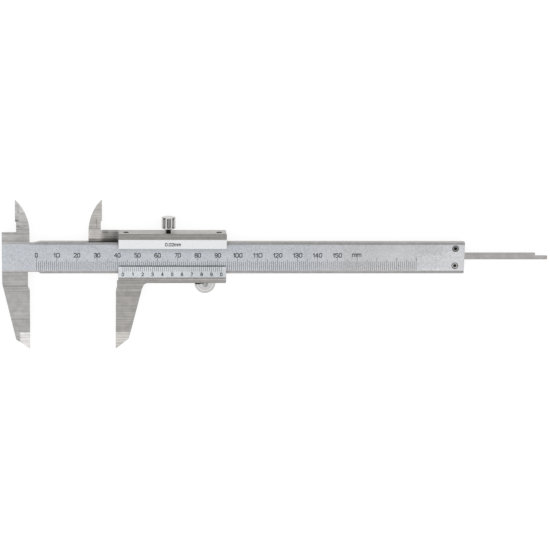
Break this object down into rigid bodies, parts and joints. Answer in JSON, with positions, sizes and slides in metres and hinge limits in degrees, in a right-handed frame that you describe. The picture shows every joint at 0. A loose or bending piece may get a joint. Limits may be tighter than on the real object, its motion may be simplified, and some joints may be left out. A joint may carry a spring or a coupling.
{
  "type": "vernier caliper",
  "caption": "Vernier caliper with outside and inside jaws, sliding vernier, lock screw, thumb roller and depth rod.",
  "frame": {"origin": "middle of the base: centre of the whole caliper's box in x and y, on the plane of the slider's back", "axes": "+X along the beam from the fixed jaw to the depth rod, +Y from the outside jaws to the inside jaws, +Z out of the scale face"},
  "size_m": [0.2738, 0.077, 0.0083],
  "materials": {
    "satin_chrome_beam": "satin chrome on the scale face, ground jaws",
    "dark_screws": "darkened steel",
    "ground_steel_slider": "ground with fine lengthwise lines",
    "plain_steel": "plain ground",
    "white_cover": "matt white",
    "satin_chrome_vernier": "fine satin chrome",
    "bronze_strip": "drawn strip",
    "ground_steel_rod": "drawn and ground",
    "bright_roller": "bright turned",
    "blackened_stud": "blackened steel",
    "bright_knob": "bright plated"
  },
  "bodies": {
    "beam": {"main_beam": "satin_chrome_beam", "end_stop_plate": "plain_steel", "end_stop_screws": "dark_screws"},
    "slider": {"slider_frame": "ground_steel_slider", "retainer_strip": "plain_steel", "retainer_pins": "plain_steel", "cover_plate": "white_cover", "vernier_plate": "satin_chrome_vernier", "vernier_dowels": "plain_steel", "gib_strip": "bronze_strip", "gib_screw_left": "dark_screws", "gib_screw_right": "dark_screws", "depth_rod": "ground_steel_rod", "depth_rod_rivets": "plain_steel", "roller_arm": "plain_steel", "roller_arm_screws": "dark_screws", "roller_axle": "plain_steel", "roller_washer": "plain_steel"},
    "roller": {"thumb_roller": "bright_roller"},
    "lock_screw": {"lock_stud": "blackened_stud"},
    "lock_grip": {"lock_knob": "bright_knob"}
  },
  "joints": [
    {"name": "slider_travel", "type": "slide", "parent": "beam", "child": "slider", "axis": [1, 0, 0], "range_m": [-0.04275, 0.1105]},
    {"name": "roller_turn", "type": "hinge", "parent": "slider", "child": "roller", "pos_m": [-0.03612, -0.00405, 0.0038], "axis": [0, 0, 1], "continuous": true},
    {"name": "lock_feed", "type": "slide", "parent": "slider", "child": "lock_screw", "axis": [0, 1, 0], "range_m": [-0.00025, 0.001]},
    {"name": "lock_turn", "type": "hinge", "parent": "lock_screw", "child": "lock_grip", "pos_m": [-0.05462, 0.02715, 0.0048], "axis": [0, 1, 0], "range_deg": [-190, 730]}
  ],
  "couplings": [
    {"joint": "roller_turn", "follows": "slider_travel", "rad_per_m": 192.31},
    {"joint": "lock_turn", "follows": "lock_feed", "rad_per_m": 12566}
  ]
}
